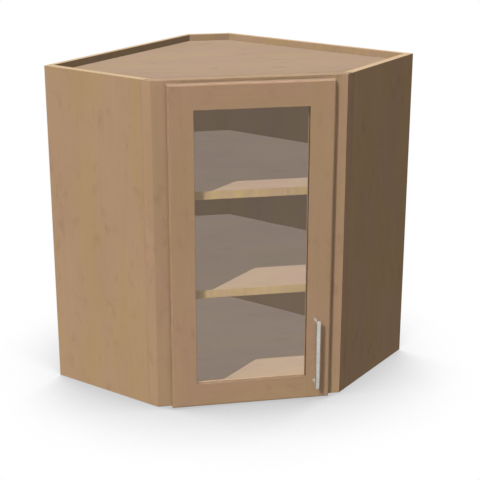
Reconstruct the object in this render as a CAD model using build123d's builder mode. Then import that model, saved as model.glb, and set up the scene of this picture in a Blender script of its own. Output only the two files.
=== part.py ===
from build123d import *
import os

# Corner wall cabinet with a diagonal front, a glazed door and two loose shelves.
# Millimetres. Z is up and Z = 0 is the underside. The origin is the middle of the
# square that the two room walls and the two cabinet ends make. The room's corner is
# at -X, +Y, and the door faces +X, -Y.

# ---------------------------------------------------------------- driving sizes
# Case
wall_length = 609.6
case_height = 762.0
side_depth = 304.8
corner_clip = 79.4
side_thickness = 18.3
deck_thickness = 18.3
back_thickness = 12.0
top_recess = 15.9
bottom_recess = 13.4

# Housings that hold the top and bottom panels in the walls round them
side_housing = 8.0
back_housing = 5.0
frame_housing = 6.0
housing_relief = 0.5

# Rebate at the rear of each side for the back panel
back_rebate_depth = 8.0

# Tongue on the front of each side, in a groove in the back of the face frame
tongue_width = 5.0
tongue_depth = 6.0
tongue_stop = 12.0

# Face frame
frame_thickness = 19.05
frame_stile_width = 63.5
frame_rail_width = 38.1

# Mortise and tenon joints of the face frame and of the door
tenon_thickness = 6.0
frame_tenon_length = 25.0
frame_tenon_setback = 5.5
frame_tenon_shoulder = 6.0
door_tenon_length = 18.0
door_tenon_setback = 2.7
door_tenon_shoulder = 10.0
tenon_end_gap = 1.0

# Shelves
shelf_thickness = 19.05
lower_shelf_top = 272.5
upper_shelf_top = 506.5
shelf_wall_gap = 1.5
shelf_setback = 3.0
edging_thickness = 1.0

# Shelf pins and the holes bored for them
pin_radius = 2.5
pin_hole_clearance = 0.05
pin_length = 8.0
pin_hole_depth = 9.0
pin_hole_pitch = 32.0
spare_pin_holes = 1
spoon_width = 9.0
spoon_reach = 10.0
spoon_lip = 2.0
spoon_drop = 4.5
spoon_fillet = 1.5
side_pin_column = 55.0
back_pin_column = 215.0

# Door
door_thickness = 19.05
door_member_width = 57.15
door_side_reveal = 31.4
door_bottom_reveal = 3.3
door_top_reveal = 6.2
door_gap = 3.0
door_edge_radius = 4.5
sight_edge_chamfer = 0.8

# Glass, its rebate and the stops that hold it
glass_thickness = 3.2
rebate_width = 9.5
rebate_lip = 6.35
glass_edge_gap = 1.5
stop_recess = 0.8
stop_fillet = 3.0
stop_fit = 0.1

# Hinges: a cup in the door, a gooseneck arm that turns on a pin in the cup, and a
# plate on the inner edge of the face frame
hinge_from_end = 89.0
hinge_pin_from_edge = 7.2
hinge_pin_inset = 8.9
hinge_pin_radius = 1.5
hinge_pin_half_length = 9.0
running_clearance = 0.05
cup_radius = 17.5
cup_edge_distance = 2.5
cup_depth = 13.0
cup_wall = 0.8
cup_fit = 0.1
cup_base_chamfer = 1.5
cup_rim = 1.0
flange_thickness = 1.2
ear_spacing = 45.0
ear_offset = 9.5
ear_radius = 5.0
lug_width = 6.0
arm_width = 8.0
arm_thickness = 2.0
arm_eye_radius = 2.6
arm_side_gap = 0.3
arm_outer_bend = 4.0
arm_inner_bend = 2.0
arm_end_gap = 2.5
plate_thickness = 1.5
plate_height = 46.0
plate_edge_gap = 1.5
plate_corner_radius = 3.0

# Screws
arm_screw_radius = 2.0
arm_screw_length = 12.0
pan_head_radius = 3.6
pan_head_height = 2.0
screw_fit = 0.1
screw_end_gap = 1.0

# Handle
handle_from_edge = 35.7
handle_lower_post = 48.8
handle_post_spacing = 152.4
handle_bar_length = 168.0
handle_bar_radius = 5.0
handle_standoff = 30.0
handle_post_radius = 4.0
handle_bar_chamfer = 0.8
post_fit = 0.02
post_bore_depth = 12.0
handle_screw_radius = 1.95
handle_screw_reach = 9.0
handle_screw_head_radius = 4.2
handle_screw_head_height = 2.0
handle_hole_clearance = 0.3

# Soft bumpers on the back of the door
bumper_radius = 4.75
bumper_height = 2.6
bumper_chamfer = 0.9
bumper_inset = 14.0

# ---------------------------------------------------------------- derived levels
bottom_panel_level = bottom_recess
top_panel_level = case_height - top_recess - deck_thickness
shelf_tops = {"lower": lower_shelf_top, "upper": upper_shelf_top}
door_bottom = door_bottom_reveal
door_top = case_height - door_top_reveal
hinge_levels = {"lower": door_bottom + hinge_from_end, "upper": door_top - hinge_from_end}

# ---------------------------------------------------------------- plan geometry
# The six walls, anticlockwise from above, and the outer corner where each begins
LEFT, FRONT, RIGHT, RIGHT_BACK, CORNER, LEFT_BACK = range(6)
half = wall_length / 2
plan_corners = (
    (-half, -half),
    (-half + side_depth, -half),
    (half, half - side_depth),
    (half, half),
    (-half + corner_clip, half),
    (-half, half - corner_clip),
)
wall_thicknesses = (
    side_thickness,
    frame_thickness,
    side_thickness,
    back_thickness,
    back_thickness,
    back_thickness,
)
housing_depths = (
    side_housing,
    frame_housing,
    side_housing,
    back_housing,
    back_housing,
    back_housing,
)

# The plane that the left and right halves mirror in
middle = Plane(origin=(0, 0, 0), z_dir=(1, 1, 0))

# The diagonal front, seen from outside: x along it from its left end, y up, z out
front = Plane(origin=(*plan_corners[FRONT], 0), x_dir=(1, 1, 0), z_dir=(1, -1, 0))
front_width = (Vector(*plan_corners[RIGHT]) - Vector(*plan_corners[FRONT])).length
along_front = Axis((0, 0, 0), front.x_dir)
out_of_front = Axis((0, 0, 0), front.z_dir)


def wall_line(wall, inset):
    """The plan line set in from a wall's outside: its inward normal and its distance."""
    start = Vector(*plan_corners[wall])
    end = Vector(*plan_corners[(wall + 1) % len(plan_corners)])
    inward = (end - start).normalized().rotate(Axis.Z, 90)
    return inward, inward.dot(start) + inset


def meet(wall_a, inset_a, wall_b, inset_b):
    """The plan point where the faces of two walls cross, each set in from outside."""
    normal_a, reach_a = wall_line(wall_a, inset_a)
    normal_b, reach_b = wall_line(wall_b, inset_b)
    turn = normal_a.X * normal_b.Y - normal_a.Y * normal_b.X
    x = (reach_a * normal_b.Y - reach_b * normal_a.Y) / turn
    y = (reach_b * normal_a.X - reach_a * normal_b.X) / turn
    return (x, y)


def plan_outline(insets):
    """The closed outline set in from each of the six walls by its own amount."""
    return [meet(wall - 1, insets[wall - 1], wall, insets[wall]) for wall in range(6)]


def at_front(along, height, out):
    """The point along, up and out from the lower left corner of the front."""
    return front.from_local_coords((along, height, out))


def plan_point(along, out):
    """The plan point along and out from the left end of the front."""
    point = at_front(along, 0, out)
    return (point.X, point.Y)


# ---------------------------------------------------------------- shared features
def plan_prism(points, bottom, top, mode=Mode.ADD):
    """Adds or cuts a plan outline between two heights."""
    with BuildSketch(Plane.XY.offset(bottom)) as outline:
        with BuildLine():
            Polyline(*points, close=True)
        make_face()
    extrude(outline.sketch, amount=top - bottom, mode=mode)


def front_block(along, height, out, mode=Mode.ADD):
    """Adds or cuts a block square to the front, given as ranges along, up and out."""
    with BuildSketch(front.offset(out[0])) as outline:
        with Locations(((along[0] + along[1]) / 2, (height[0] + height[1]) / 2)):
            Rectangle(along[1] - along[0], height[1] - height[0])
    extrude(outline.sketch, amount=out[1] - out[0], mode=mode)


def cut_deck_housings():
    """Cuts the grooves that the top and bottom panels sit in."""
    insets = [
        thickness - depth - housing_relief
        for thickness, depth in zip(wall_thicknesses, housing_depths)
    ]
    for level in (bottom_panel_level, top_panel_level):
        plan_prism(plan_outline(insets), level, level + deck_thickness, Mode.SUBTRACT)


def pin_level(shelf_top):
    """The height of the pins whose spoons carry a shelf."""
    return shelf_top - shelf_thickness - pin_radius


def bore_pin_holes(column):
    """Bores each shelf's pin hole and the spare ones above it, along one column."""
    levels = [
        pin_level(shelf_top) + step * pin_hole_pitch
        for shelf_top in shelf_tops.values()
        for step in range(spare_pin_holes + 1)
    ]
    with Locations(column):
        with Locations(*[(0, level) for level in levels]):
            Hole(pin_radius + pin_hole_clearance, depth=pin_hole_depth)


def pan_screw(seat, shank_radius, shank_length, head_radius, head_height):
    """A screw whose tapered head stands on the seat plane, with its shank behind it."""
    with Locations(seat):
        Cylinder(shank_radius, shank_length, align=(Align.CENTER, Align.CENTER, Align.MAX))
        Cone(
            head_radius,
            head_radius - head_height / 2,
            head_height,
            align=(Align.CENTER, Align.CENTER, Align.MIN),
        )


def save(piece, name):
    """Labels a finished piece and writes it."""
    piece.label = name
    export_step(piece, f"parts/{name}.step")


os.makedirs("parts", exist_ok=True)

# ---------------------------------------------------------------- case walls
back_lip = side_thickness - back_rebate_depth
tongue_centre = -frame_thickness + side_thickness / 2**0.5
tongue_span = (tongue_centre - tongue_width / 2, tongue_centre + tongue_width / 2)

# Columns of pin holes on the inner faces of the left side and the left back panel
side_column = Plane(
    origin=(-half + side_depth - side_pin_column, -half + side_thickness, 0),
    x_dir=(-1, 0, 0),
    z_dir=(0, 1, 0),
)
back_column = Plane(
    origin=(-half + back_thickness, -half + back_pin_column, 0),
    x_dir=(0, 1, 0),
    z_dir=(1, 0, 0),
)

with BuildPart() as left_side_panel:
    plan_prism(
        (
            meet(LEFT_BACK, 0, LEFT, 0),
            meet(LEFT, 0, FRONT, frame_thickness),
            meet(LEFT, side_thickness, FRONT, frame_thickness),
            meet(LEFT, side_thickness, LEFT_BACK, 0),
        ),
        0,
        case_height,
    )
    front_block(
        tongue_span,
        (0, case_height - tongue_stop),
        (-frame_thickness, -frame_thickness + tongue_depth),
    )
    plan_prism(
        (
            meet(LEFT_BACK, 0, LEFT, back_lip),
            meet(LEFT_BACK, back_thickness, LEFT, back_lip),
            meet(LEFT_BACK, back_thickness, LEFT, side_thickness),
            meet(LEFT_BACK, 0, LEFT, side_thickness),
        ),
        0,
        case_height,
        Mode.SUBTRACT,
    )
    cut_deck_housings()
    bore_pin_holes(side_column)

with BuildPart() as right_side_panel:
    mirror(left_side_panel.part, about=middle)

with BuildPart() as left_back_panel:
    plan_prism(
        (
            meet(LEFT_BACK, 0, LEFT, back_lip),
            meet(LEFT_BACK, back_thickness, LEFT, back_lip),
            meet(LEFT_BACK, back_thickness, CORNER, back_thickness),
            meet(LEFT_BACK, 0, CORNER, 0),
        ),
        0,
        case_height,
    )
    cut_deck_housings()
    bore_pin_holes(back_column)

with BuildPart() as right_back_panel:
    mirror(left_back_panel.part, about=middle)

with BuildPart() as corner_back_panel:
    plan_prism(
        (
            meet(LEFT_BACK, 0, CORNER, 0),
            meet(LEFT_BACK, back_thickness, CORNER, back_thickness),
            meet(RIGHT_BACK, back_thickness, CORNER, back_thickness),
            meet(RIGHT_BACK, 0, CORNER, 0),
        ),
        0,
        case_height,
    )
    cut_deck_housings()

for panel, name in (
    (left_side_panel, "left_side_panel"),
    (right_side_panel, "right_side_panel"),
    (left_back_panel, "left_back_panel"),
    (right_back_panel, "right_back_panel"),
    (corner_back_panel, "corner_back_panel"),
):
    save(panel.part, name)

# ---------------------------------------------------------------- top and bottom panels
deck_insets = [
    thickness - depth for thickness, depth in zip(wall_thicknesses, housing_depths)
]
for level, name in (
    (bottom_panel_level, "bottom_panel"),
    (top_panel_level, "top_panel"),
):
    with BuildPart() as deck:
        plan_prism(plan_outline(deck_insets), level, level + deck_thickness)
    save(deck.part, name)

# ---------------------------------------------------------------- face frame
frame_rails = {
    "bottom": (0, frame_rail_width),
    "top": (case_height - frame_rail_width, case_height),
}
frame_tenon_out = (-frame_tenon_setback - tenon_thickness, -frame_tenon_setback)

with BuildPart() as frame_stile_blank:
    plan_prism(
        (
            meet(LEFT, 0, FRONT, 0),
            plan_point(frame_stile_width, 0),
            plan_point(frame_stile_width, -frame_thickness),
            meet(LEFT, 0, FRONT, frame_thickness),
        ),
        0,
        case_height,
    )
    front_block(
        tongue_span,
        (0, case_height),
        (-frame_thickness, -frame_thickness + tongue_depth + housing_relief),
        Mode.SUBTRACT,
    )
    cut_deck_housings()
    for low, high in frame_rails.values():
        front_block(
            (frame_stile_width - frame_tenon_length - tenon_end_gap, frame_stile_width),
            (low + frame_tenon_shoulder, high - frame_tenon_shoulder),
            frame_tenon_out,
            Mode.SUBTRACT,
        )

with BuildPart() as face_frame_stile_right:
    mirror(frame_stile_blank.part, about=middle)

# The left stile also takes the screws of the hinge arms in its inner edge
plate_out = -frame_thickness / 2


def stile_edge_plane(level, proud):
    """A plane that stands proud of the left stile's inner edge, centred at a height."""
    return Plane(
        origin=at_front(frame_stile_width + proud, level, plate_out),
        x_dir=(0, 0, 1),
        z_dir=front.x_dir,
    )


def arm_screw_seat(level):
    """The plane under the head of the screw that holds one hinge's arm."""
    return stile_edge_plane(level, plate_thickness + arm_thickness)


with BuildPart() as face_frame_stile_left:
    add(frame_stile_blank.part)
    for level in hinge_levels.values():
        with Locations(arm_screw_seat(level)):
            Hole(arm_screw_radius + screw_fit, depth=arm_screw_length + screw_end_gap)

save(face_frame_stile_left.part, "face_frame_stile_left")
save(face_frame_stile_right.part, "face_frame_stile_right")

for place, (low, high) in frame_rails.items():
    with BuildPart() as rail:
        front_block(
            (frame_stile_width, front_width - frame_stile_width),
            (low, high),
            (-frame_thickness, 0),
        )
        front_block(
            (
                frame_stile_width - frame_tenon_length,
                front_width - frame_stile_width + frame_tenon_length,
            ),
            (low + frame_tenon_shoulder, high - frame_tenon_shoulder),
            frame_tenon_out,
        )
        cut_deck_housings()
    save(rail.part, f"face_frame_rail_{place}")

# ---------------------------------------------------------------- shelves
shelf_insets = [
    side_thickness + shelf_wall_gap,
    frame_thickness + shelf_setback + edging_thickness,
    side_thickness + shelf_wall_gap,
    back_thickness + shelf_wall_gap,
    back_thickness + shelf_wall_gap,
    back_thickness + shelf_wall_gap,
]
edging_outline = (
    meet(LEFT, shelf_insets[LEFT], FRONT, frame_thickness + shelf_setback),
    meet(RIGHT, shelf_insets[RIGHT], FRONT, frame_thickness + shelf_setback),
    meet(RIGHT, shelf_insets[RIGHT], FRONT, shelf_insets[FRONT]),
    meet(LEFT, shelf_insets[LEFT], FRONT, shelf_insets[FRONT]),
)

for place, shelf_top in shelf_tops.items():
    with BuildPart() as shelf:
        plan_prism(plan_outline(shelf_insets), shelf_top - shelf_thickness, shelf_top)
    save(shelf.part, f"{place}_shelf")
    with BuildPart() as edging:
        plan_prism(edging_outline, shelf_top - shelf_thickness, shelf_top)
    save(edging.part, f"{place}_shelf_edging")

# Each pin's spoon has a flat top that carries the shelf, and tapers to its tip
spoon_profile = (
    (0, pin_radius),
    (spoon_reach, pin_radius),
    (spoon_reach, pin_radius - spoon_lip),
    (spoon_lip, -spoon_drop),
    (0, -spoon_drop),
)
for place, shelf_top in shelf_tops.items():
    with BuildPart() as pin_pair:
        for column in (side_column, back_column):
            root = column.origin + Vector(0, 0, pin_level(shelf_top))
            across = Plane(origin=root, x_dir=column.z_dir, z_dir=-column.x_dir)
            with BuildSketch(across) as spoon:
                with BuildLine():
                    Polyline(*spoon_profile, close=True)
                make_face()
            extrude(spoon.sketch, amount=spoon_width / 2, both=True)
            with Locations(Plane(origin=root, x_dir=column.x_dir, z_dir=column.z_dir)):
                Cylinder(
                    pin_radius,
                    pin_length,
                    align=(Align.CENTER, Align.CENTER, Align.MAX),
                )
    with BuildPart() as shelf_pins:
        add(pin_pair.part)
        mirror(pin_pair.part, about=middle)
    save(shelf_pins.part, f"{place}_shelf_pins")

# ---------------------------------------------------------------- door frame
door_left = door_side_reveal
door_right = front_width - door_side_reveal
door_back = door_gap
door_front = door_gap + door_thickness
sight_left = door_left + door_member_width
sight_right = door_right - door_member_width
sight_bottom = door_bottom + door_member_width
sight_top = door_top - door_member_width
rebate_out = (door_back, door_front - rebate_lip)
door_tenon_front = door_front - rebate_lip - door_tenon_setback
door_tenon_out = (door_tenon_front - tenon_thickness, door_tenon_front)
door_rails = {
    "bottom": (door_bottom, sight_bottom),
    "top": (sight_top, door_top),
}
tenon_heights = {
    "bottom": (door_bottom + door_tenon_shoulder, sight_bottom - rebate_width),
    "top": (sight_top + rebate_width, door_top - door_tenon_shoulder),
}

with BuildPart() as door_stile_blank:
    with BuildSketch(front.offset(door_back)):
        with Locations(((door_left + sight_left) / 2, (door_bottom + door_top) / 2)):
            Rectangle(door_member_width, door_top - door_bottom)
    extrude(amount=door_thickness)
    face_edges = faces().sort_by(out_of_front).last.edges().sort_by(along_front)
    fillet(face_edges[:-1], radius=door_edge_radius)
    plan_prism(
        (
            plan_point(sight_left, door_front),
            plan_point(sight_left - sight_edge_chamfer, door_front),
            plan_point(sight_left, door_front - sight_edge_chamfer),
        ),
        sight_bottom,
        sight_top,
        Mode.SUBTRACT,
    )
    front_block(
        (sight_left - rebate_width, sight_left),
        (door_bottom, door_top),
        rebate_out,
        Mode.SUBTRACT,
    )
    for low, high in tenon_heights.values():
        front_block(
            (
                sight_left - rebate_width - door_tenon_length - tenon_end_gap,
                sight_left - rebate_width,
            ),
            (low, high),
            door_tenon_out,
            Mode.SUBTRACT,
        )

# Hinge side: a bore for each cup
pin_along = door_left + hinge_pin_from_edge
pin_out = door_back + hinge_pin_inset
cup_centre = door_left + cup_edge_distance + cup_radius
ear_centre = cup_centre + ear_offset


with BuildPart() as door_stile_hinge_side:
    add(door_stile_blank.part)
    for level in hinge_levels.values():
        with BuildSketch(front.offset(door_back)) as bore:
            with Locations((cup_centre, level)):
                Circle(cup_radius)
        extrude(bore.sketch, amount=cup_depth + cup_fit, mode=Mode.SUBTRACT)

# Handle side: clearance holes for the two handle screws. The lower one also passes
# through the bottom rail's tenon.
handle_along = door_right - handle_from_edge
post_levels = (handle_lower_post, handle_lower_post + handle_post_spacing)
post_places = [(handle_along, level) for level in post_levels]


def cut_handle_screw_holes():
    """Cuts the holes that the handle's screws pass through, front to back."""
    with BuildSketch(front.offset(door_back)) as screw_holes:
        with Locations(*post_places):
            Circle(handle_screw_radius + handle_hole_clearance)
    extrude(screw_holes.sketch, amount=door_thickness, mode=Mode.SUBTRACT)


with BuildPart() as door_stile_handle_side:
    mirror(door_stile_blank.part, about=middle)
    cut_handle_screw_holes()

save(door_stile_hinge_side.part, "door_stile_hinge_side")
save(door_stile_handle_side.part, "door_stile_handle_side")

for place, (low, high) in door_rails.items():
    inward = 1 if place == "bottom" else -1
    sight_level = high if place == "bottom" else low
    towards_glass = Axis((0, 0, 0), (0, 0, inward))
    with BuildPart() as rail:
        with BuildSketch(front.offset(door_back)):
            with Locations(((sight_left + sight_right) / 2, (low + high) / 2)):
                Rectangle(sight_right - sight_left, door_member_width)
        extrude(amount=door_thickness)
        face_edges = faces().sort_by(out_of_front).last.edges()
        fillet(face_edges.sort_by(towards_glass).first, radius=door_edge_radius)
        face_edges = faces().sort_by(out_of_front).last.edges()
        chamfer(face_edges.sort_by(towards_glass).last, length=sight_edge_chamfer)
        front_block(
            (sight_left - rebate_width, sight_right + rebate_width),
            (low, high),
            rebate_out,
        )
        front_block(
            (sight_left - rebate_width, sight_right + rebate_width),
            sorted((sight_level, sight_level - inward * rebate_width)),
            rebate_out,
            Mode.SUBTRACT,
        )
        front_block(
            (
                sight_left - rebate_width - door_tenon_length,
                sight_right + rebate_width + door_tenon_length,
            ),
            tenon_heights[place],
            door_tenon_out,
        )
        cut_handle_screw_holes()
    save(rail.part, f"door_rail_{place}")

# ---------------------------------------------------------------- glass and its stops
glass_front = door_front - rebate_lip
glass_back = glass_front - glass_thickness
stop_back = door_back + stop_recess
rebate_left = sight_left - rebate_width
rebate_right = sight_right + rebate_width
rebate_bottom = sight_bottom - rebate_width
rebate_top = sight_top + rebate_width

with BuildPart() as glass_pane:
    front_block(
        (rebate_left + glass_edge_gap, rebate_right - glass_edge_gap),
        (rebate_bottom + glass_edge_gap, rebate_top - glass_edge_gap),
        (glass_back, glass_front),
    )
save(glass_pane.part, "glass_pane")

# Corners of the rebate and of the sight opening, anticlockwise from the lower left
rebate_corners = (
    (rebate_left + stop_fit, rebate_bottom + stop_fit),
    (rebate_right - stop_fit, rebate_bottom + stop_fit),
    (rebate_right - stop_fit, rebate_top - stop_fit),
    (rebate_left + stop_fit, rebate_top - stop_fit),
)
sight_corners = (
    (sight_left, sight_bottom),
    (sight_right, sight_bottom),
    (sight_right, sight_top),
    (sight_left, sight_top),
)
for index, place in enumerate(("bottom", "handle_side", "top", "hinge_side")):
    after = (index + 1) % 4
    with BuildPart() as stop:
        with BuildSketch(front.offset(stop_back)):
            with BuildLine():
                Polyline(
                    rebate_corners[index],
                    rebate_corners[after],
                    sight_corners[after],
                    sight_corners[index],
                    close=True,
                )
            make_face()
        extrude(amount=glass_back - stop_back)
        back_edges = faces().sort_by(out_of_front).first.edges()
        sight_middle = at_front(
            (sight_corners[index][0] + sight_corners[after][0]) / 2,
            (sight_corners[index][1] + sight_corners[after][1]) / 2,
            stop_back,
        )
        fillet(back_edges.sort_by_distance(sight_middle)[0], radius=stop_fillet)
    save(stop.part, f"glass_stop_{place}")

# ---------------------------------------------------------------- hinges
cup_outer = cup_radius - cup_fit
cup_inner = cup_outer - cup_wall
cup_floor = door_back + cup_depth - cup_wall
flange_back = door_back - flange_thickness
leg_inner = frame_stile_width + plate_thickness
leg_outer = leg_inner + arm_thickness
leg_end = -frame_thickness + arm_end_gap
arm_half = arm_thickness / 2
lug_gap = arm_width / 2 + arm_side_gap


def place_at_hinges(piece):
    """Adds a copy of a piece, modelled at height zero, at each hinge's height."""
    with Locations(*[(0, 0, level) for level in hinge_levels.values()]):
        add(piece)


def on_pin(radius, half_length, mode=Mode.ADD):
    """Adds or cuts a cylinder on the hinge pin's axis, centred at height zero."""
    with Locations(at_front(pin_along, 0, pin_out)):
        Cylinder(radius, 2 * half_length, mode=mode)


with BuildPart() as cup:
    with BuildSketch(front.offset(door_back)):
        with Locations((cup_centre, 0)):
            Circle(cup_outer)
    extrude(amount=cup_depth)
    chamfer(faces().sort_by(out_of_front).last.edges(), length=cup_base_chamfer)
    with BuildSketch(front.offset(flange_back)):
        with Locations((cup_centre, 0)):
            Circle(cup_outer + cup_rim)
        with Locations((ear_centre, 0)):
            SlotCenterToCenter(ear_spacing, 2 * ear_radius, rotation=90)
    extrude(amount=flange_thickness)
    with BuildSketch(front.offset(flange_back)):
        with Locations((cup_centre, 0)):
            Circle(cup_inner)
    extrude(amount=cup_floor - flange_back, mode=Mode.SUBTRACT)
    with BuildSketch(front.offset(pin_out - arm_eye_radius)):
        with Locations((cup_centre, 0)):
            Circle(cup_inner)
        with Locations((pin_along, 0)):
            Rectangle(lug_width, 2 * cup_inner, mode=Mode.INTERSECT)
            Rectangle(lug_width, 2 * lug_gap, mode=Mode.SUBTRACT)
    extrude(amount=cup_floor - pin_out + arm_eye_radius)
    on_pin(
        hinge_pin_radius + running_clearance,
        hinge_pin_half_length + running_clearance,
        Mode.SUBTRACT,
    )

with BuildPart() as arm:
    with BuildSketch(Plane(origin=front.origin, x_dir=front.x_dir, z_dir=(0, 0, -1))):
        with BuildLine():
            Polyline(
                (pin_along, pin_out + arm_half),
                (leg_outer, pin_out + arm_half),
                (leg_outer, leg_end),
                (leg_inner, leg_end),
                (leg_inner, pin_out - arm_half),
                (pin_along, pin_out - arm_half),
                close=True,
            )
        make_face()
        outer_bend = vertices().sort_by_distance((leg_outer, pin_out + arm_half))[0]
        fillet(outer_bend, radius=arm_outer_bend)
        inner_bend = vertices().sort_by_distance((leg_inner, pin_out - arm_half))[0]
        fillet(inner_bend, radius=arm_inner_bend)
        with Locations((pin_along, pin_out)):
            Circle(arm_eye_radius)
            Circle(hinge_pin_radius + running_clearance, mode=Mode.SUBTRACT)
    extrude(amount=arm_width / 2, both=True)
    with Locations(arm_screw_seat(0)):
        Hole(arm_screw_radius + screw_fit, depth=arm_thickness)

with BuildPart() as plate:
    with BuildSketch(stile_edge_plane(0, 0)):
        RectangleRounded(
            plate_height,
            frame_thickness - plate_edge_gap * 2,
            plate_corner_radius,
        )
    extrude(amount=plate_thickness)
    with Locations(arm_screw_seat(0)):
        Hole(arm_screw_radius + screw_fit, depth=arm_thickness + plate_thickness)

with BuildPart() as hinge_cups:
    place_at_hinges(cup.part)

with BuildPart() as hinge_arms:
    place_at_hinges(arm.part)

with BuildPart() as hinge_plates:
    place_at_hinges(plate.part)

with BuildPart() as pin:
    on_pin(hinge_pin_radius, hinge_pin_half_length)

with BuildPart() as hinge_pins:
    place_at_hinges(pin.part)

with BuildPart() as hinge_arm_screws:
    for level in hinge_levels.values():
        pan_screw(
            arm_screw_seat(level),
            arm_screw_radius,
            arm_screw_length,
            pan_head_radius,
            pan_head_height,
        )

for hinge_pieces, name in (
    (hinge_cups, "hinge_cups"),
    (hinge_arms, "hinge_arms"),
    (hinge_plates, "hinge_plates"),
    (hinge_pins, "hinge_pins"),
    (hinge_arm_screws, "hinge_arm_screws"),
):
    save(hinge_pieces.part, name)

# ---------------------------------------------------------------- handle
bar_out = door_front + handle_standoff
bar_middle = handle_lower_post + handle_post_spacing / 2

with BuildPart() as handle_bar:
    with Locations(at_front(handle_along, bar_middle, bar_out)):
        Cylinder(handle_bar_radius, handle_bar_length)
    chamfer(edges().filter_by(GeomType.CIRCLE), length=handle_bar_chamfer)
save(handle_bar.part, "handle_bar")

with BuildPart() as handle_posts:
    with BuildSketch(front.offset(door_front)):
        with Locations(*post_places):
            Circle(handle_post_radius)
    extrude(amount=handle_standoff)
    with Locations(at_front(handle_along, bar_middle, bar_out)):
        Cylinder(
            handle_bar_radius + post_fit,
            handle_bar_length,
            mode=Mode.SUBTRACT,
        )
    with BuildSketch(front.offset(door_front)):
        with Locations(*post_places):
            Circle(handle_screw_radius + post_fit)
    extrude(amount=post_bore_depth, mode=Mode.SUBTRACT)
save(handle_posts.part, "handle_posts")

with BuildPart() as handle_screws:
    for level in post_levels:
        pan_screw(
            Plane(
                origin=at_front(handle_along, level, door_back),
                x_dir=front.x_dir,
                z_dir=-front.z_dir,
            ),
            handle_screw_radius,
            door_thickness + handle_screw_reach,
            handle_screw_head_radius,
            handle_screw_head_height,
        )
save(handle_screws.part, "handle_screws")

# ---------------------------------------------------------------- door bumpers
with BuildPart() as door_bumpers:
    with BuildSketch(front.offset(door_back)):
        with Locations(
            (door_right - bumper_inset, door_bottom + bumper_inset),
            (door_right - bumper_inset, door_top - bumper_inset),
        ):
            Circle(bumper_radius)
    extrude(amount=-bumper_height)
    tips = faces().sort_by(out_of_front)[:2]
    chamfer(tips.edges(), length=bumper_chamfer)
save(door_bumpers.part, "door_bumpers")
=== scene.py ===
import math
from typing import NamedTuple

import bmesh
import bpy
from mathutils import Matrix, Vector


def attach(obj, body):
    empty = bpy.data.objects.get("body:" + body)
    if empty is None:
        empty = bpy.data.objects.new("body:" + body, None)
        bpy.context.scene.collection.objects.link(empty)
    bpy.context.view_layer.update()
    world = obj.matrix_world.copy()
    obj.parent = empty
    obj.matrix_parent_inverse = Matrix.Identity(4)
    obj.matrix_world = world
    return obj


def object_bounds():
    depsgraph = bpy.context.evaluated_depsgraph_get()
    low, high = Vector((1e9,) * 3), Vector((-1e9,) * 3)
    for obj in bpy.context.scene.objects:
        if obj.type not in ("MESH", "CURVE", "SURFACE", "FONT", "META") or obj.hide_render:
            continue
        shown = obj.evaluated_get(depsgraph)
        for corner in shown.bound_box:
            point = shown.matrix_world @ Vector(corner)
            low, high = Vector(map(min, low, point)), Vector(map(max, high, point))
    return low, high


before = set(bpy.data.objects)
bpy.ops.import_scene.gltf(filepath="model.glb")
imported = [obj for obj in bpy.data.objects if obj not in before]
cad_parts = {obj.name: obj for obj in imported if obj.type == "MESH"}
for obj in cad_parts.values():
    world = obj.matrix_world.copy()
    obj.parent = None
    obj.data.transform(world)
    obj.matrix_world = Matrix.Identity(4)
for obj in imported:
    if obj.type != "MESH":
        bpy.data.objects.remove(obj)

MM = 0.001
cad_low, cad_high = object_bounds()

# ---- Directions: along the front, out of it, into the room's corner, up, and across the sides ----
HALF_WALL = 304.8 * MM
HALF_TURN = math.sqrt(0.5)
ALONG_FRONT = Vector((HALF_TURN, HALF_TURN, 0))
OUT_OF_FRONT = Vector((HALF_TURN, -HALF_TURN, 0))
INTO_CORNER = -OUT_OF_FRONT
UP = Vector((0, 0, 1))
ACROSS_X, ACROSS_Y = Vector((1, 0, 0)), Vector((0, 1, 0))
FRONT_CORNER = Vector((0, -HALF_WALL, 0))
FRONT_TO_X = -math.pi / 4  # the turn about the upright that lays the front along the first axis

# ---- Colours of 0 to 255, as they look in plain light ----
# Each maple has a yellower and a pinker tone.
CASE_MAPLE = ((172, 142, 106), (172, 140, 111))
FRAME_MAPLE = ((173, 142, 109), (174, 141, 112))
DECK_MAPLE = ((159, 134, 106), (160, 132, 109))
# Painted light: the bottom panel's maple is a paler copy of the deck's, for more light low inside.
BOTTOM_MAPLE_LIT = ((164, 138, 109), (164, 136, 112))
# Painted shade: the top panel's maple is a darker copy of the deck's, to take down the light on it.
TOP_MAPLE_SHADED = ((152, 128, 100), (152, 126, 103))
EDGING_MAPLE = ((203, 173, 121), (197, 163, 127))
PLY_EDGE_PALE = (194, 168, 131)
PLY_EDGE_DARK = (170, 139, 105)
# Painted shade: the dark colour on the inner edge of the door's glass opening.
SIGHT_EDGE_SHADE = (76, 60, 42)
NICKEL = (194, 192, 185)
# Painted highlight: the paler colour on the upper end of the handle's bar.
NICKEL_TOP_HIGHLIGHT = (236, 230, 222)
# Painted light: a paler copy of the nickel for the handle's posts, so that they look lit.
LIT_POST_NICKEL = (226, 216, 202)
STEEL = (196, 198, 200)
RUBBER = (206, 204, 198)
WHITE = (1, 1, 1, 1)


def linear(colour):
    """A colour of 0 to 255 as the shaders take it, by the usual curve of screens."""
    channels = []
    for value in colour:
        share = value / 255
        low = share <= 0.04045
        channels.append(share / 12.92 if low else ((share + 0.055) / 1.055) ** 2.4)
    return (*channels, 1)


def towards(azimuth, elevation):
    """The direction from the object to a place at that azimuth and elevation."""
    turn, rise = math.radians(azimuth), math.radians(elevation)
    flat = math.cos(rise)
    return Vector((flat * math.sin(turn), -flat * math.cos(turn), math.sin(rise)))


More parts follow.
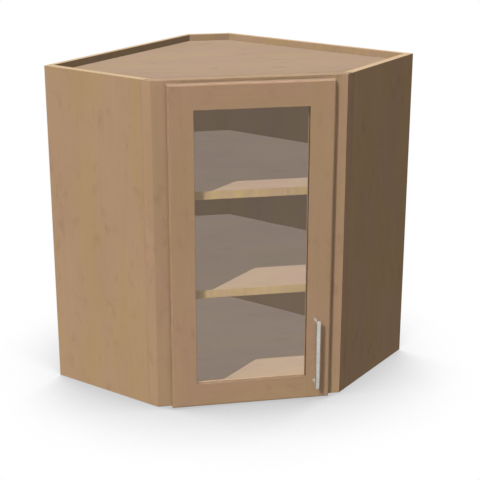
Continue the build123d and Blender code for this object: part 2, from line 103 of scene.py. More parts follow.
# ---- Node trees ----
# Below, a span is a value's range and what it is spread to, and a relief is a strength and a depth.
MIX_SHARE, MIX_FIRST, MIX_SECOND, MIX_RESULT = 0, 6, 7, 2  # the Mix node's sockets for colours
FACING_BEGINS, FACING_FULL = 0.8, 0.95  # how far a normal reaches in the direction it is held to


class Shader:
    """The nodes of a material or a world, built step by step."""

    def __init__(self, owner):
        owner.use_nodes = True
        self.owner = owner
        self.tree = owner.node_tree
        self.tree.nodes.clear()

    def feed(self, made, place, value):
        """An input, by its name or place, takes another node's output or a constant."""
        socket = made.inputs[place]
        if isinstance(value, bpy.types.NodeSocket):
            self.tree.links.new(value, socket)
        else:
            socket.default_value = value

    def node(self, kind, **inputs):
        """A new node. A name of an input has an underscore for each space."""
        made = self.tree.nodes.new("ShaderNode" + kind)
        for name, value in inputs.items():
            self.feed(made, name.replace("_", " "), value)
        return made

    def operate(self, kind, operation, values):
        """A new Math or VectorMath node on the values."""
        made = self.node(kind)
        made.operation = operation
        for place, value in enumerate(values):
            self.feed(made, place, value)
        return made

    def math(self, operation, *values):
        return self.operate("Math", operation, values).outputs[0]

    def vector(self, operation, *values):
        return self.operate("VectorMath", operation, values).outputs[0]

    def along(self, vector, direction):
        """How far a point or normal reaches in a direction."""
        return self.operate("VectorMath", "DOT_PRODUCT", (vector, direction)).outputs["Value"]

    def ramp(self, value, low, high, out_low=0.0, out_high=1.0):
        """The value's range from low to high, smoothed and spread from out_low to out_high."""
        made = self.node(
            "MapRange", Value=value, From_Min=low, From_Max=high, To_Min=out_low, To_Max=out_high,
        )
        made.interpolation_type = "SMOOTHSTEP"
        return made.outputs["Result"]

    def facing(self, normal, direction, elsewhere=0.0, there=1.0):
        """One value on the faces that look in a direction and another elsewhere."""
        reach = self.along(normal, direction)
        return self.ramp(reach, FACING_BEGINS, FACING_FULL, elsewhere, there)

    def mix(self, share, first, second, blend="MIX"):
        """A colour mixed of two."""
        made = self.node("Mix")
        made.data_type, made.blend_type = "RGBA", blend
        for place, value in ((MIX_SHARE, share), (MIX_FIRST, first), (MIX_SECOND, second)):
            self.feed(made, place, value)
        return made.outputs[MIX_RESULT]

    def shaded(self, colour, shade):
        """The colour times a shade, where a shade of 1 leaves it as it is."""
        return self.mix(1.0, colour, shade, "MULTIPLY")

    def coordinates(self):
        """The piece's own points and normals."""
        source = self.node("TexCoord")
        return source.outputs["Object"], source.outputs["Normal"]

    def scaled(self, vector, scale, turn=0.0):
        """The point turned about the upright and then stretched."""
        turned = self.node("Mapping", Vector=vector, Rotation=(0, 0, turn))
        return self.vector("MULTIPLY", turned.outputs[0], scale)

    def noise(self, vector, detail=2.0, distortion=0.0):
        made = self.node("TexNoise", Vector=vector, Scale=1.0, Detail=detail, Distortion=distortion)
        return made.outputs["Fac"]

    def relief(self, height, strength, depth, rounded=None):
        """The normals of a surface with this relief, on rounded edges where they are given."""
        bump = self.node("Bump", Height=height, Strength=strength, Distance=depth)
        if rounded is not None:
            self.feed(bump, "Normal", rounded)
        return bump.outputs[0]

    def openness(self, reach, samples):
        """1 where nothing stands within reach, and less the more is closed in."""
        made = self.node("AmbientOcclusion", Distance=reach)
        made.samples = samples
        return made.outputs["AO"]

    def seen(self):
        """1 for the eye's own ways, also through glass and by a mirror, and 0 for light's."""
        path = self.node("LightPath")
        bare = self.math("MAXIMUM", path.outputs["Is Camera Ray"], path.outputs["Is Glossy Ray"])
        return self.math("MAXIMUM", bare, path.outputs["Is Transmission Ray"])

    def finish(self, surface, output="OutputMaterial"):
        """The material or world with this as its surface."""
        self.node(output, Surface=surface)
        return self.owner


# ---- Worn edges, and on wood a painted highlight ----
# The last four are the radii to which the edges of wood and metal look worn; the pale wood edges
# are also a painted highlight.
EDGE_SAMPLES = 6
EDGE_BEGINS, EDGE_FULL = 0.995, 0.9  # how far the rounded normal reaches along the face's own
SOLID_EDGE, PLY_EDGE = 1.2 * MM, 0.8 * MM
HANDLE_EDGE, STEEL_EDGE = 0.6 * MM, 0.4 * MM


def edge_mask(shader, radius):
    """1 near a sharp edge and 0 on the flats, and the normals rounded there."""
    bevel = shader.node("Bevel", Radius=radius)
    bevel.samples = EDGE_SAMPLES
    rounded = bevel.outputs[0]
    flat = shader.node("NewGeometry").outputs["Normal"]
    return shader.ramp(shader.along(rounded, flat), EDGE_BEGINS, EDGE_FULL), rounded


# ---- Wood ----
class Figure(NamedTuple):
    """A pattern in the wood: repeats to the metre across and along the grain, the noise's
    range with what it is spread to, and the noise's detail and distortion."""

    across: float
    along: float
    span: tuple
    detail: float = 2.0
    distortion: float = 0.0


BANDS = Figure(across=15, along=4, span=(0.38, 0.62))
EDGING_BANDS = BANDS._replace(across=70)
TONES = Figure(across=9, along=2.2, span=(0.3, 0.7, 0.97, 1.03), detail=3)
BLOTCHES = Figure(across=50, along=24, span=(0.5, 0.72), detail=3, distortion=0.4)
SMUDGES = Figure(across=16, along=11, span=(0.4, 0.6), distortion=0.5)
STREAKS = Figure(across=230, along=5, span=(0.3, 0.7, 0.983, 1.017))
FIBRES = Figure(across=1500, along=45, span=(0.25, 0.75, 0.97, 1.03))
SPOT_DEPTH = 0.11
SEED_SHIFT = (0.37, 0.61, 0.83)

WOOD_ROUGHNESS_SPAN = (0.2, 0.8, 0.55, 0.66)
SPOT_ROUGHNESS = 0.05
WOOD_RELIEF = (0.25, 0.12 * MM)
WOOD_SPECULAR = 0.004
# Share of the pale edge colour: part wear, part painted highlight.
WOOD_WEAR_AND_HIGHLIGHT = 0.42


def grained_noise(shader, place, grain, figure):
    """The figure's noise, drawn out along a grain that runs up or along the front."""
    across, along = figure.across, figure.along
    if grain == "up":
        stretched = shader.scaled(place, (across, across, along))
    else:
        stretched = shader.scaled(place, (along, across, across), FRONT_TO_X)
    return shader.noise(stretched, figure.detail, figure.distortion)


def pattern(shader, place, grain, figure):
    """The figure's noise, spread over its span."""
    return shader.ramp(grained_noise(shader, place, grain, figure), *figure.span)


def maple_figure(shader, point, grain, tones, seed, bands):
    """Maple's colour, how high its fibres stand, and where its spots are."""
    place = shader.vector("ADD", point, [seed * shift for shift in SEED_SHIFT])
    yellow, pink = (linear(tone) for tone in tones)
    colour = shader.mix(pattern(shader, place, grain, bands), yellow, pink)
    blotches = pattern(shader, place, grain, BLOTCHES)
    spots = shader.math("MULTIPLY", blotches, pattern(shader, place, grain, SMUDGES))
    shade = shader.math("SUBTRACT", 1.0, shader.math("MULTIPLY", spots, SPOT_DEPTH))
    for figure in (TONES, STREAKS):
        shade = shader.math("MULTIPLY", shade, pattern(shader, place, grain, figure))
    fibre = grained_noise(shader, place, grain, FIBRES)
    shade = shader.math("MULTIPLY", shade, shader.ramp(fibre, *FIBRES.span))
    return shader.shaded(colour, shade), fibre, spots


def wood_surface(shader, colour, fibre, spots, edge_radius):
    """The shader of finished wood whose edges are pale, partly from wear and partly as a painted
    highlight.
    """
    mask, rounded = edge_mask(shader, edge_radius)
    wear_and_highlight = shader.math("MULTIPLY", mask, WOOD_WEAR_AND_HIGHLIGHT)
    rougher = shader.math("MULTIPLY", spots, SPOT_ROUGHNESS)
    surface = shader.node(
        "BsdfPrincipled",
        Base_Color=shader.mix(wear_and_highlight, colour, linear(PLY_EDGE_PALE)),
        Roughness=shader.math("ADD", shader.ramp(fibre, *WOOD_ROUGHNESS_SPAN), rougher),
        Specular_IOR_Level=WOOD_SPECULAR,
        Normal=shader.relief(fibre, *WOOD_RELIEF, rounded),
    )
    return surface.outputs[0]


# ---- Solid wood, with the tones that some faces have ----
# Where the painted shade on the glass opening's inner edge begins and ends, and how soft it is.
OPENING_LEFT, OPENING_RIGHT = 87.5 * MM, 343.5 * MM  # from the front's corner, along the front
OPENING_SOFT, SIGHT_EDGE_SOFT = 0.5 * MM, 0.1
CREVICE_SHADE_SAMPLES = 4


class CreviceShade(NamedTuple):
    """Painted shade on a face where another piece is near: the way it looks, how far it feels, its
    darkest share, and the openness at which the shade begins and at which it is full."""

    direction: Vector
    reach: float
    darkest: float
    begins: float
    full: float


def paint_sight_edge_shade(shader, point, normal, colour, inward, least):
    """The colour with painted shade on the edge that looks inward at the glass."""
    edge = shader.ramp(shader.along(normal, inward), least, least + SIGHT_EDGE_SOFT)
    across = shader.math(
        "SUBTRACT", shader.along(point, ALONG_FRONT), ALONG_FRONT.dot(FRONT_CORNER),
    )
    past_left = shader.ramp(across, OPENING_LEFT, OPENING_LEFT + OPENING_SOFT)
    past_right = shader.ramp(across, OPENING_RIGHT, OPENING_RIGHT - OPENING_SOFT)
    inner = shader.math("MULTIPLY", past_left, past_right)
    return shader.mix(shader.math("MULTIPLY", edge, inner), colour, linear(SIGHT_EDGE_SHADE))


def paint_crevice_shade(shader, normal, colour, crevice_shade):
    """The colour with painted shade where another piece is near."""
    openness = shader.openness(crevice_shade.reach, CREVICE_SHADE_SAMPLES)
    closed = shader.ramp(openness, crevice_shade.begins, crevice_shade.full)
    closed = shader.math("MULTIPLY", closed, shader.facing(normal, crevice_shade.direction))
    return shader.shaded(colour, shader.math("MULTIPLY_ADD", closed, crevice_shade.darkest - 1, 1.0))


def solid_wood(name, grain, tones, seed, bands=BANDS, sight_edge_shade=None, crevice_shade=None, light_and_shade=()):
    """Solid maple. Painted light and shade give a direction and the share of the colour on faces
    that look there.
    """
    shader = Shader(bpy.data.materials.new(name))
    point, normal = shader.coordinates()
    colour, fibre, spots = maple_figure(shader, point, grain, tones, seed, bands)
    if sight_edge_shade is not None:
        colour = paint_sight_edge_shade(shader, point, normal, colour, *sight_edge_shade)
    if crevice_shade is not None:
        colour = paint_crevice_shade(shader, normal, colour, crevice_shade)
    for direction, share in light_and_shade:
        colour = shader.shaded(colour, shader.facing(normal, direction, 1.0, share))
    return shader.finish(wood_surface(shader, colour, fibre, spots, SOLID_EDGE))


# ---- Plywood ----
PLY_LAYERS = 9
LAYER_SPAN = (-0.25, 0.25)
CRUMBS, CRUMB_SPAN = (900, 900, 900), (0.3, 0.7, 0.93, 1.06)
CUT_EDGE_SPAN = (0.6, 0.5)  # how far a normal reaches through the layers
# Painted light: the backs' inner faces grow paler low down.
PALER_BELOW, PALEST_BELOW, PALER_GAIN = 360 * MM, 60 * MM, 0.2


def ply_layers(shader, point, through, start, thickness):
    """The colour of a cut edge."""
    depth = shader.math("SUBTRACT", shader.along(point, through), start)
    wave = shader.math("MULTIPLY", depth, PLY_LAYERS * math.pi / thickness)
    layer = shader.ramp(shader.math("SINE", wave), *LAYER_SPAN)
    colour = shader.mix(layer, linear(PLY_EDGE_PALE), linear(PLY_EDGE_DARK))
    crumbs = shader.noise(shader.scaled(point, CRUMBS))
    return shader.shaded(colour, shader.ramp(crumbs, *CRUMB_SPAN))


def paint_light_low_down(shader, point, normal, colour, inward):
    """The colour with painted light, paler low down on the face that looks inward."""
    low_down = shader.ramp(shader.along(point, UP), PALER_BELOW, PALEST_BELOW)
    low_down = shader.math("MULTIPLY", low_down, shader.facing(normal, inward))
    return shader.shaded(colour, shader.math("MULTIPLY_ADD", low_down, PALER_GAIN, 1.0))


def plywood(name, through, grain, tones, seed, start, thickness, inward=None):
    """Maple-faced plywood whose layers lie across the direction through."""
    shader = Shader(bpy.data.materials.new(name))
    point, normal = shader.coordinates()
    colour, fibre, spots = maple_figure(shader, point, grain, tones, seed, BANDS)
    if inward is not None:
        colour = paint_light_low_down(shader, point, normal, colour, inward)
    on_face = shader.math("ABSOLUTE", shader.along(normal, through))
    layers = ply_layers(shader, point, through, start, thickness)
    colour = shader.mix(shader.ramp(on_face, *CUT_EDGE_SPAN), colour, layers)
    return shader.finish(wood_surface(shader, colour, fibre, spots, PLY_EDGE))


# ---- Metal ----
# Repeats to the metre along each axis.
UPRIGHT_LINES, LEVEL_LINES, EVEN_GRAIN = (2600, 2600, 160), (160, 160, 2600), (900, 900, 900)
STAINS, STAIN_DETAIL, STAIN_SPAN = (60, 60, 60), 3, (0.3, 0.7, 0.95, 1.04)
LINE_SPAN = (0.3, 0.7)
SMOOTHER, ROUGHER = 0.05, 0.07
METAL_RELIEF = (0.15, 0.04 * MM)
METAL_WEAR, WORN_METAL = 0.25, (0.9, 0.9, 0.88, 1)
# Where the painted highlight on upper ends begins and is full.
TOP_HIGHLIGHT_SPAN = (0.6, 0.9)  # how far a normal reaches up
NICKEL_ROUGHNESS, POST_ROUGHNESS, STEEL_ROUGHNESS = 0.3, 0.4, 0.22
# Painted light: a lower metallic share lets the lamps light the handle's posts.
LIT_POST_METALLIC = 0.5


def brushed_metal(name, colour, roughness, lines, edge_radius, metallic=1.0, top_highlight=None):
    """Metal with fine lines, faint stains and brighter edges. Its upper end may carry a painted
    highlight.
    """
    shader = Shader(bpy.data.materials.new(name))
    point, normal = shader.coordinates()
    fine = shader.noise(shader.scaled(point, lines))
    stains = shader.noise(shader.scaled(point, STAINS), STAIN_DETAIL)
    tinted = shader.shaded(linear(colour), shader.ramp(stains, *STAIN_SPAN))
    mask, rounded = edge_mask(shader, edge_radius)
    tinted = shader.mix(shader.math("MULTIPLY", mask, METAL_WEAR), tinted, WORN_METAL)
    if top_highlight is not None:
        on_top = shader.ramp(shader.along(normal, UP), *TOP_HIGHLIGHT_SPAN)
        tinted = shader.mix(on_top, tinted, linear(top_highlight))
    surface = shader.node(
        "BsdfPrincipled", Base_Color=tinted, Metallic=metallic,
        Roughness=shader.ramp(fine, *LINE_SPAN, roughness - SMOOTHER, roughness + ROUGHER),
        Normal=shader.relief(fine, *METAL_RELIEF, rounded),
    )
    return shader.finish(surface.outputs[0])


# ---- Glass and rubber ----
SMEARS, SMEAR_DETAIL, SMEAR_DISTORTION = (9, 9, 4), 4, 1.0
CLEAN_GLASS, SMEARED_GLASS = (0.985, 0.99, 0.985, 1), (0.97, 0.98, 0.975, 1)
GLASS_ROUGHNESS_SPAN = (0.45, 0.8, 0.0, 0.008)
GLASS_WAVES, WAVE_DETAIL = (5, 5, 3), 1
GLASS_RELIEF = (0.02, 0.2 * MM)
GLASS_INDEX = 1.31

RUBBER_GRAIN, RUBBER_CLOUDS = (2500, 2500, 2500), (300, 300, 300)
RUBBER_TONE_SPAN = (0.3, 0.7, 0.93, 1.03)
RUBBER_ROUGHNESS_SPAN = (0.3, 0.7, 0.45, 0.6)
RUBBER_RELIEF = (0.2, 0.05 * MM)
RUBBER_DEPTH = 0.1


def clear_glass(name):
    """Clear glass that lamps and soft light pass."""
    shader = Shader(bpy.data.materials.new(name))
    point, _ = shader.coordinates()
    smears = shader.noise(shader.scaled(point, SMEARS), SMEAR_DETAIL, SMEAR_DISTORTION)
    waves = shader.noise(shader.scaled(point, GLASS_WAVES), WAVE_DETAIL)
    glass = shader.node(
        "BsdfPrincipled", IOR=GLASS_INDEX, Transmission_Weight=1.0,
        Base_Color=shader.mix(smears, CLEAN_GLASS, SMEARED_GLASS),
        Roughness=shader.ramp(smears, *GLASS_ROUGHNESS_SPAN),
        Normal=shader.relief(waves, *GLASS_RELIEF),
    )
    open_way = shader.node("BsdfTransparent")
    path = shader.node("LightPath")
    passing = shader.math("MAXIMUM", path.outputs["Is Shadow Ray"], path.outputs["Is Diffuse Ray"])
    both = shader.node("MixShader")
    for place, value in enumerate((passing, glass.outputs[0], open_way.outputs[0])):
        shader.feed(both, place, value)
    return shader.finish(both.outputs[0])


def soft_rubber(name):
    """Slightly mottled soft plastic."""
    shader = Shader(bpy.data.materials.new(name))
    point, _ = shader.coordinates()
    grain = shader.noise(shader.scaled(point, RUBBER_GRAIN))
    clouds = shader.noise(shader.scaled(point, RUBBER_CLOUDS))
    surface = shader.node(
        "BsdfPrincipled", Subsurface_Weight=RUBBER_DEPTH,
        Base_Color=shader.shaded(linear(RUBBER), shader.ramp(clouds, *RUBBER_TONE_SPAN)),
        Roughness=shader.ramp(grain, *RUBBER_ROUGHNESS_SPAN),
        Normal=shader.relief(grain, *RUBBER_RELIEF),
    )
    return shader.finish(surface.outputs[0])


# ---- The CAD nodes and their materials ----
PANELS = {  # the direction through the layers, the grain and the maple
    "left_side_panel": (ACROSS_Y, "up", CASE_MAPLE),
    "right_side_panel": (ACROSS_X, "up", CASE_MAPLE),
    "left_back_panel": (ACROSS_X, "up", CASE_MAPLE),
    "right_back_panel": (ACROSS_Y, "up", CASE_MAPLE),
    "corner_back_panel": (INTO_CORNER, "up", CASE_MAPLE),
    "bottom_panel": (UP, "front", BOTTOM_MAPLE_LIT),
    "top_panel": (UP, "front", TOP_MAPLE_SHADED),
    "lower_shelf": (UP, "front", DECK_MAPLE),
    "upper_shelf": (UP, "front", DECK_MAPLE),
}
# Painted light low down on the backs' inner faces.
PAINTED_LIGHT_LOW = {  # the way that the paler face looks
    "left_back_panel": ACROSS_X,
    "right_back_panel": -ACROSS_Y,
    "corner_back_panel": -INTO_CORNER,
}
MEMBERS = {  # the grain
    "face_frame_stile_left": "up",
    "face_frame_stile_right": "up",
    "face_frame_rail_bottom": "front",
    "face_frame_rail_top": "front",
    "door_stile_hinge_side": "up",
    "door_stile_handle_side": "up",
    "door_rail_bottom": "front",
    "door_rail_top": "front",
    "glass_stop_bottom": "front",
    "glass_stop_top": "front",
    "glass_stop_handle_side": "up",
    "glass_stop_hinge_side": "up",
}
# Painted shade on the glass opening's inner edges.
SIGHT_EDGE_SHADES = {  # the way to the glass, and how far a normal reaches there before it is dark
    "door_stile_hinge_side": (ALONG_FRONT, 0.8),
    "door_stile_handle_side": (-ALONG_FRONT, 0.55),
}
# Painted light and shade on the face frame's stiles: the left one's outer strip and both front
# faces lighter, the right one's outer strip darker.
PAINTED_LIGHT_AND_SHADE = {  # the way that a face looks, and the share of the colour it has
    "face_frame_stile_left": ((-ACROSS_Y, 1.09), (OUT_OF_FRONT, 1.045)),
    "face_frame_stile_right": ((ACROSS_X, 0.68), (OUT_OF_FRONT, 1.05)),
}
# Painted shade at the back of the door's top, below the frame's rail.
DOOR_TOP_SHADE = CreviceShade(UP, 14 * MM, darkest=0.55, begins=0.92, full=0.8)
# Painted shade on the frame beside the door's top and left edge, and on the door's top.
CREVICE_SHADES = {
    "face_frame_rail_top": CreviceShade(OUT_OF_FRONT, 7 * MM, darkest=0.7, begins=0.97, full=0.5),
    "face_frame_stile_left": CreviceShade(OUT_OF_FRONT, 7 * MM, darkest=0.82, begins=0.97, full=0.5),
    "door_rail_top": DOOR_TOP_SHADE,
    "door_stile_hinge_side": DOOR_TOP_SHADE,
    "door_stile_handle_side": DOOR_TOP_SHADE,
}
EDGINGS = ("lower_shelf_edging", "upper_shelf_edging")
FIRST_MEMBER_SEED, FIRST_EDGING_SEED = 20, 50
NICKEL_NODES = ("handle_bar", "handle_screws")
STEEL_NODES = (
    "hinge_cups", "hinge_arms", "hinge_plates", "hinge_pins", "hinge_arm_screws",
    "lower_shelf_pins", "upper_shelf_pins",
)


def paint(node, material):
    """The CAD node takes the material in all its slots."""
    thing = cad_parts[node]
    if not thing.material_slots:
        thing.data.materials.append(material)
    for slot in thing.material_slots:
        slot.material = material


def extent(node, direction):
    """Where a CAD node starts and how thick it is in a direction."""
    reach = [vertex.co.dot(direction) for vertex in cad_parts[node].data.vertices]
    return min(reach), max(reach) - min(reach)


for seed, (node, (through, grain, tones)) in enumerate(PANELS.items()):
    start, thickness = extent(node, through)
    paint(node, plywood(
        f"{node}_ply", through, grain, tones, seed, start, thickness, PAINTED_LIGHT_LOW.get(node),
    ))
for seed, (node, grain) in enumerate(MEMBERS.items(), FIRST_MEMBER_SEED):
    paint(node, solid_wood(
        f"{node}_maple", grain, FRAME_MAPLE, seed, sight_edge_shade=SIGHT_EDGE_SHADES.get(node),
        crevice_shade=CREVICE_SHADES.get(node), light_and_shade=PAINTED_LIGHT_AND_SHADE.get(node, ()),
    ))
for seed, node in enumerate(EDGINGS, FIRST_EDGING_SEED):
    paint(node, solid_wood(f"{node}_maple", "up", EDGING_MAPLE, seed, EDGING_BANDS))

paint("glass_pane", clear_glass("clear_glass"))
paint("door_bumpers", soft_rubber("soft_rubber"))
nickel = brushed_metal(
    "satin_nickel", NICKEL, NICKEL_ROUGHNESS, UPRIGHT_LINES, HANDLE_EDGE, top_highlight=NICKEL_TOP_HIGHLIGHT,
)
for node in NICKEL_NODES:
    paint(node, nickel)
# Painted light: the posts have their own paler, less metallic nickel.
paint("handle_posts", brushed_metal(
    "lit_post_nickel", LIT_POST_NICKEL, POST_ROUGHNESS, LEVEL_LINES, HANDLE_EDGE, LIT_POST_METALLIC,
))
plated = brushed_metal("plated_steel", STEEL, STEEL_ROUGHNESS, EVEN_GRAIN, STEEL_EDGE)
for node in STEEL_NODES:
    paint(node, plated)

# ---- The small screws of the hinges ----
HEAD_RADIUS, HEAD_HEIGHT, RECESS_DEPTH = 3.1 * MM, 1.1 * MM, 0.8 * MM
HEAD_SEGMENTS = 32
# Shares of the head's radius and height, from its underside to the dome's rim.
HEAD_PROFILE = ((1.0, 0.0), (1.0, 0.25), (0.93, 0.55), (0.8, 0.8), (0.62, 0.95))
# Shares of the head's radius, and of the cross for its floor.
CROSS_ARM, CROSS_WIDTH, CROSS_TAPER = 1.1, 0.28, 0.7
SIDES = {"below": -1, "above": 1}
# In millimetres: the hinges' heights, and their screws' places along the front, out of it and
# above or below the hinge.
HINGE_LEVELS = {"lower": 92.3, "upper": 666.8}
CUP_SCREW_ALONG, CUP_SCREW_OUT, CUP_SCREW_RISE = 60.9, 1.8, 22.5
PLATE_SCREW_ALONG, PLATE_SCREW_OUT, PLATE_SCREW_RISE = 65.0, -9.525, 16
# How far the cross is turned, and how much more above the hinge and less below it.
CUP_SCREW_TURN, CUP_SCREW_TURN_ABOVE = 0.3, 0.5
PLATE_SCREW_TURN, PLATE_SCREW_TURN_ABOVE = 0.7, -0.4


def front_point(along, out, height):
    """A point given along the front, out of it and up, in millimetres."""
    return FRONT_CORNER + (ALONG_FRONT * along + OUT_OF_FRONT * out + UP * height) * MM


def cross_outline(arm, width):
    """Corners of a cross, anticlockwise."""
    a, w = arm / 2, width / 2
    corners = []
    for turn in range(4):
        for x, y in ((a, -w), (a, w), (w, w)):
            for _ in range(turn):
                x, y = -y, x
            corners.append((x, y))
    return corners


def head_ring(mesh, share, rise):
    """A ring of corners at a share of the head's radius and height."""
    ring = []
    for step in range(HEAD_SEGMENTS):
        angle = 2 * math.pi * step / HEAD_SEGMENTS
        x, y = HEAD_RADIUS * share * math.cos(angle), HEAD_RADIUS * share * math.sin(angle)
        ring.append(mesh.verts.new((x, y, HEAD_HEIGHT * rise)))
    return ring


def wall(mesh, first, second):
    """Faces between two rings that have the same number of corners."""
    for step, corner in enumerate(first):
        after = (step + 1) % len(first)
        mesh.faces.new((corner, first[after], second[after], second[step]))


def closed_line(mesh, ring):
    """The edges round a ring."""
    return [
        mesh.edges.get((corner, after)) or mesh.edges.new((corner, after))
        for corner, after in zip(ring, ring[1:] + ring[:1])
    ]


def head_mesh(name):
    """A low domed head with a cross recess, on its flat underside."""
    mesh = bmesh.new()
    rings = [head_ring(mesh, share, rise) for share, rise in HEAD_PROFILE]
    for lower, upper in zip(rings, rings[1:]):
        wall(mesh, lower, upper)
    mesh.faces.new(rings[0][::-1])
    top = HEAD_HEIGHT * HEAD_PROFILE[-1][1]
    outline = cross_outline(HEAD_RADIUS * CROSS_ARM, HEAD_RADIUS * CROSS_WIDTH)
    mouth = [mesh.verts.new((x, y, top)) for x, y in outline]
    floor = [
        mesh.verts.new((x * CROSS_TAPER, y * CROSS_TAPER, top - RECESS_DEPTH)) for x, y in outline
    ]
    rim = closed_line(mesh, rings[-1]) + closed_line(mesh, mouth)
    bmesh.ops.triangle_fill(mesh, edges=rim, use_beauty=True, normal=UP)
    wall(mesh, mouth, floor)
    mesh.faces.new(floor)
    bmesh.ops.recalc_face_normals(mesh, faces=mesh.faces)
    data = bpy.data.meshes.new(name)
    mesh.to_mesh(data)
    mesh.free()
    return data


def screw_head(name, place, facing, turn):
    """A plated screw head whose underside lies on a surface that looks the way of facing."""
    data = head_mesh(name)
    data.materials.append(plated)
    screw = bpy.data.objects.new(name, data)
    bpy.context.scene.collection.objects.link(screw)
    stand = facing.to_track_quat("Z", "Y").to_matrix().to_4x4()
    screw.matrix_world = Matrix.Translation(place) @ stand @ Matrix.Rotation(turn, 4, "Z")
    return screw


for level_name, level in HINGE_LEVELS.items():
    for side_name, side in SIDES.items():
        cup_screw = screw_head(
            f"cup_screw_{level_name}_{side_name}",
            front_point(CUP_SCREW_ALONG, CUP_SCREW_OUT, level + side * CUP_SCREW_RISE),
            -OUT_OF_FRONT, CUP_SCREW_TURN + side * CUP_SCREW_TURN_ABOVE,
        )
        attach(cup_screw, "door")
        plate_screw = screw_head(
            f"plate_screw_{level_name}_{side_name}",
            front_point(PLATE_SCREW_ALONG, PLATE_SCREW_OUT, level + side * PLATE_SCREW_RISE),
            ALONG_FRONT, PLATE_SCREW_TURN + side * PLATE_SCREW_TURN_ABOVE,
        )
        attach(plate_screw, "case")

# ---- Floor and world ----
WORLD_LEVEL = 0.045
FLOOR_HALF, FLOOR_DROP = 12.0, 0.2 * MM
# The floor's painted shadow: how far it feels, and from openness to brightness.
FLOOR_REACH, FLOOR_SAMPLES = 0.55, 16
FLOOR_GAIN, FLOOR_OFFSET, FLOOR_LEAST = 1.22, -0.01, 0.55  # from openness to brightness


def floor_material():
    """White for the eye with a painted shadow, darker where the object closes off the sky, and
    faint as a light.
    """
    shader = Shader(bpy.data.materials.new("floor_white"))
    openness = shader.openness(FLOOR_REACH, FLOOR_SAMPLES)
    bright = shader.math("MULTIPLY_ADD", openness, FLOOR_GAIN, FLOOR_OFFSET)
    bright = shader.math("MAXIMUM", shader.math("MINIMUM", bright, 1.0), FLOOR_LEAST)
    seen = shader.seen()
    for_eye = shader.math("MULTIPLY", seen, bright)
    for_light = shader.math("MULTIPLY", shader.math("SUBTRACT", 1.0, seen), WORLD_LEVEL)
    glow = shader.node("Emission", Color=WHITE, Strength=shader.math("ADD", for_eye, for_light))
    return shader.finish(glow.outputs[0])


def make_floor():
    """A wide flat floor just under the object."""
    half = FLOOR_HALF
    corners = [(-half, -half, 0), (half, -half, 0), (half, half, 0), (-half, half, 0)]
    mesh = bpy.data.meshes.new("floor")
    mesh.from_pydata(corners, [], [(0, 1, 2, 3)])
    mesh.materials.append(floor_material())
    floor = bpy.data.objects.new("floor", mesh)
    floor.location = (0, 0, cad_low.z - FLOOR_DROP)
    bpy.context.scene.collection.objects.link(floor)


def make_world():
    """White for the eye and faint as a light."""
    world = bpy.data.worlds.new("studio")
    bpy.context.scene.world = world
    shader = Shader(world)
    level = shader.ramp(shader.seen(), 0.0, 1.0, WORLD_LEVEL, 1.0)
    glow = shader.node("Background", Color=WHITE, Strength=level)
    shader.finish(glow.outputs[0], "OutputWorld")


# ---- Lamps ----
class Sun(NamedTuple):
    """A lamp far away: the place it shines from and its width in degrees, its brightness and
    tint, and whether it casts shadows and shows in glass and metal."""

    azimuth: float
    elevation: float
    level: float
    spread: float
    shadow: bool = False
    tint: tuple = (1, 1, 1)
    mirrored: bool = True


SUNS = {
    "key": Sun(azimuth=0.5, elevation=50.4, level=1.05, spread=0.5, shadow=True),
    "front_key": Sun(azimuth=12.5, elevation=38, level=0.66, spread=7, shadow=True),
    "front_soft": Sun(azimuth=30, elevation=50.4, level=0.13, spread=30),
    "fill_0": Sun(azimuth=-15, elevation=0, level=0.295, spread=30, mirrored=False),
    "fill_1": Sun(azimuth=105, elevation=0, level=0.258, spread=30, mirrored=False),
    "fill_2": Sun(azimuth=225, elevation=0, level=0.8, spread=4, mirrored=False),
    "fill_top": Sun(azimuth=0, elevation=90, level=0.89, spread=30, tint=(0.71, 0.8, 1.0)),
}
LAMP_DISTANCE = 3
FRONT_STARTS = ("face_frame", "door_stile", "door_rail", "handle")  # of the nodes' names
DIRECT_CLAMP = 4.0


def receivers(name, things, state):
    """A collection by which a lamp lights only these things, or all but these."""
    group = bpy.data.collections.new(name)
    for thing in things:
        group.objects.link(thing)
    for entry in group.collection_objects:
        entry.light_linking.link_state = state
    return group


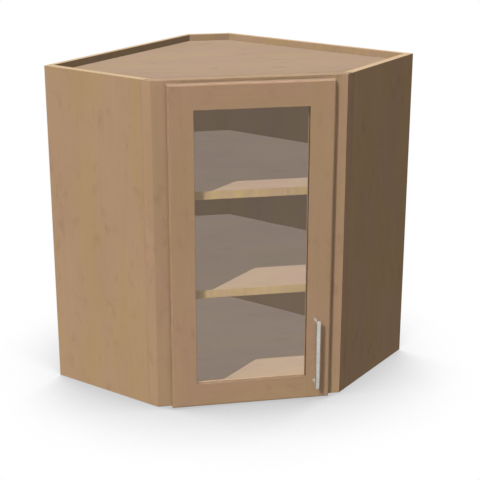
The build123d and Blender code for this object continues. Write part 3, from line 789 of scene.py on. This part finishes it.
def make_sun(name, sun, lights=None):
    """The lamp, which lights only what its receivers say where they are given."""
    data = bpy.data.lights.new(name, "SUN")
    data.color = sun.tint
    data.energy = sun.level * math.pi
    data.angle = math.radians(sun.spread)
    data.use_shadow = sun.shadow
    lamp = bpy.data.objects.new(name, data)
    bpy.context.scene.collection.objects.link(lamp)
    direction = towards(sun.azimuth, sun.elevation)
    lamp.location = direction * LAMP_DISTANCE
    lamp.rotation_euler = direction.to_track_quat("Z", "Y").to_euler()
    lamp.visible_glossy = lamp.visible_transmission = sun.mirrored
    if lights is not None:
        lamp.light_linking.receiver_collection = lights


def make_lamps():
    """The lamps. The front and the shelves' edgings have their own two in place of the key."""
    front_names = [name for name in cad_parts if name.startswith(FRONT_STARTS)]
    front_names += EDGINGS
    front_pieces = [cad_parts[name] for name in front_names]
    all_but_front = receivers("all_but_front", front_pieces, "EXCLUDE")
    front = receivers("front", front_pieces, "INCLUDE")
    lit = {"key": all_but_front, "front_key": front, "front_soft": front}
    for name, sun in SUNS.items():
        make_sun(name, sun, lit.get(name))


# ---- The camera, fitted to the corners of the case ----
CAMERA_AZIMUTH, CAMERA_ELEVATION = 34.83, 18.86
CAMERA_DISTANCE = 2927.2 * MM
CAMERA_TARGET = Vector((12.5, 8.7, 322.1)) * MM
CAMERA_LENS = 90.66
SENSOR_WIDTH = 36


def make_camera():
    """The scene's camera, looking at its target."""
    data = bpy.data.cameras.new("camera")
    data.lens, data.sensor_width = CAMERA_LENS, SENSOR_WIDTH
    camera = bpy.data.objects.new("camera", data)
    bpy.context.scene.collection.objects.link(camera)
    back = towards(CAMERA_AZIMUTH, CAMERA_ELEVATION)
    camera.location = CAMERA_TARGET + back * CAMERA_DISTANCE
    camera.rotation_euler = back.to_track_quat("Z", "Y").to_euler()
    bpy.context.scene.camera = camera


make_floor()
make_world()
make_lamps()
make_camera()
bpy.context.scene.view_settings.view_transform = "Standard"
bpy.context.scene.cycles.diffuse_bounces = 0
bpy.context.scene.cycles.sample_clamp_direct = DIRECT_CLAMP
